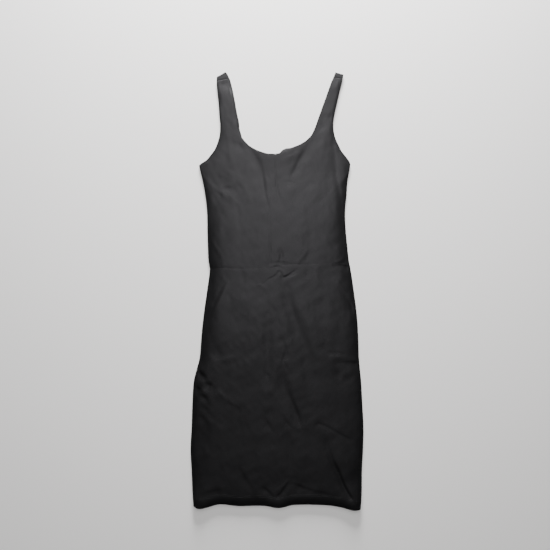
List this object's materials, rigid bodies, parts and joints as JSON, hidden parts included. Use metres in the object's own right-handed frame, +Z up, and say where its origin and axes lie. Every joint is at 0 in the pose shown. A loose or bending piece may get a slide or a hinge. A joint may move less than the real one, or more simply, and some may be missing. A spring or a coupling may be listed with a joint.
{
  "type": "bodycon dress laid flat",
  "caption": "Sleeveless scoop-neck bodycon dress in black stretch knit, knee length, laid flat with its front up.",
  "frame": {"origin": "on the surface the dress lies on, under the middle of its length and width", "axes": "+X to the right as one looks down on the front, +Y from the hem towards the straps, +Z up from the surface"},
  "size_m": [0.3951, 0.9966, 0.0134],
  "materials": {
    "black_knit": "smooth black double knit, matt with a soft sheen"
  },
  "bodies": {
    "root": {"bodice_front": "black_knit", "bodice_back": "black_knit", "skirt_front": "black_knit", "skirt_back": "black_knit"}
  },
  "joints": []
}
